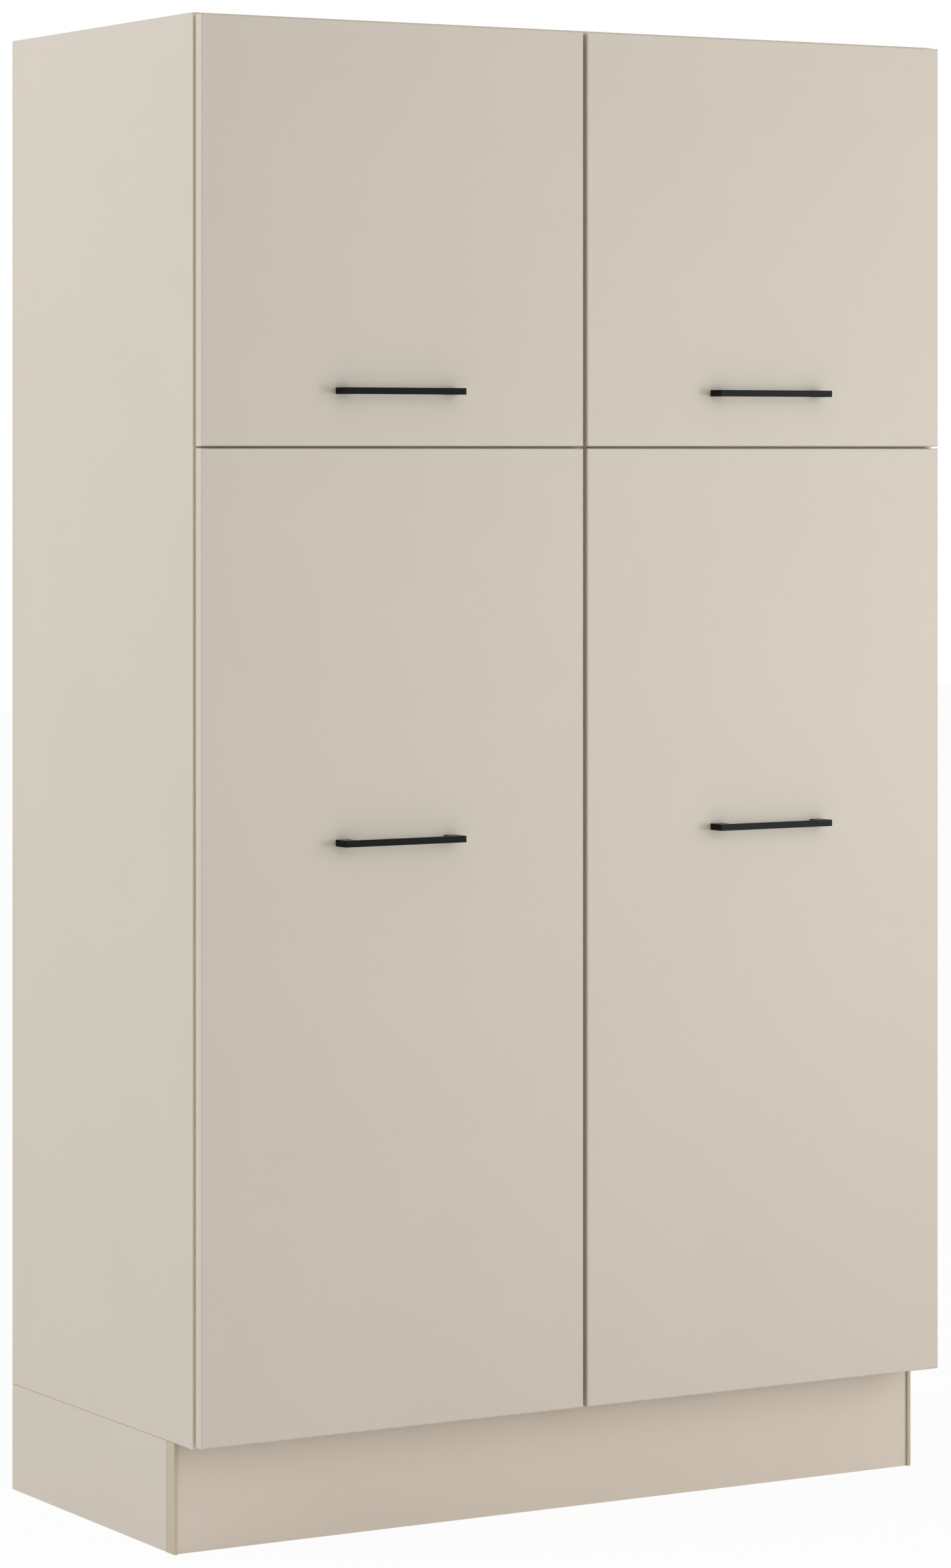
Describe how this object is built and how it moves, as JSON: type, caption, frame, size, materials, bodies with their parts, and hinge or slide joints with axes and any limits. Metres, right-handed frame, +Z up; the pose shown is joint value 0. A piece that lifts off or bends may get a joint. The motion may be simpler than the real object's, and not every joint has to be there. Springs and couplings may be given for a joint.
{
  "type": "utility cabinet",
  "caption": "Tall kitchen utility cabinet: side-by-side columns with upper and lower slab doors on concealed hinges, bow handles, shelves and a recessed plinth over levelling legs.",
  "frame": {"origin": "on the floor, in the middle of the overall width and depth", "axes": "+X to the right as seen from the front, +Y to the back, +Z up; the doors face -Y"},
  "size_m": [1.2, 0.607, 2.058],
  "materials": {
    "laminate_board": "satin beige laminate",
    "door_laminate": "satin beige laminate",
    "thin_back": "printed fibreboard",
    "cap_plastic": "matt",
    "black_metal": "matt powder coat",
    "hinge_steel": "nickel plated",
    "steel_fitting": "zinc plated",
    "leg_plastic": "matt",
    "soft_pad": "soft"
  },
  "bodies": {
    "carcass": {"left_outer_side": "laminate_board", "left_inner_side": "laminate_board", "left_top_board": "laminate_board", "left_bottom_board": "laminate_board", "left_fixed_shelf": "laminate_board", "left_upper_shelf": "laminate_board", "left_lower_shelves": "laminate_board", "left_plinth_return": "laminate_board", "left_back_panel": "thin_back", "left_shelf_supports": "steel_fitting", "left_plinth_end_cap": "cap_plastic", "left_hinge_arms": "hinge_steel", "left_hinge_plates": "hinge_steel", "right_outer_side": "laminate_board", "right_inner_side": "laminate_board", "right_top_board": "laminate_board", "right_bottom_board": "laminate_board", "right_fixed_shelf": "laminate_board", "right_upper_shelf": "laminate_board", "right_lower_shelves": "laminate_board", "right_plinth_return": "laminate_board", "right_back_panel": "thin_back", "right_shelf_supports": "steel_fitting", "right_plinth_end_cap": "cap_plastic", "right_hinge_arms": "hinge_steel", "right_hinge_plates": "hinge_steel", "connecting_bolts": "steel_fitting", "wall_brackets": "steel_fitting", "door_buffers": "soft_pad", "plinth_fascia": "laminate_board", "leg_sockets": "leg_plastic", "leg_posts": "leg_plastic", "leg_feet": "leg_plastic", "plinth_clips": "leg_plastic"},
    "left_upper_leaf": {"left_upper_door": "door_laminate", "left_upper_handle": "black_metal", "left_upper_hinge_cups": "hinge_steel", "left_upper_hinge_pins": "hinge_steel"},
    "left_lower_leaf": {"left_lower_door": "door_laminate", "left_lower_handle": "black_metal", "left_lower_hinge_cups": "hinge_steel", "left_lower_hinge_pins": "hinge_steel"},
    "right_upper_leaf": {"right_upper_door": "door_laminate", "right_upper_handle": "black_metal", "right_upper_hinge_cups": "hinge_steel", "right_upper_hinge_pins": "hinge_steel"},
    "right_lower_leaf": {"right_lower_door": "door_laminate", "right_lower_handle": "black_metal", "right_lower_hinge_cups": "hinge_steel", "right_lower_hinge_pins": "hinge_steel"}
  },
  "joints": [
    {"name": "left_upper_hinge", "type": "hinge", "parent": "carcass", "child": "left_upper_leaf", "pos_m": [-0.59, -0.268, 1.7685], "axis": [0, 0, -1], "range_deg": [0, 100]},
    {"name": "left_lower_hinge", "type": "hinge", "parent": "carcass", "child": "left_lower_leaf", "pos_m": [-0.59, -0.268, 0.816], "axis": [0, 0, -1], "range_deg": [0, 100]},
    {"name": "right_upper_hinge", "type": "hinge", "parent": "carcass", "child": "right_upper_leaf", "pos_m": [0.59, -0.268, 1.7685], "axis": [0, 0, 1], "range_deg": [0, 100]},
    {"name": "right_lower_hinge", "type": "hinge", "parent": "carcass", "child": "right_lower_leaf", "pos_m": [0.59, -0.268, 0.816], "axis": [0, 0, 1], "range_deg": [0, 100]}
  ]
}
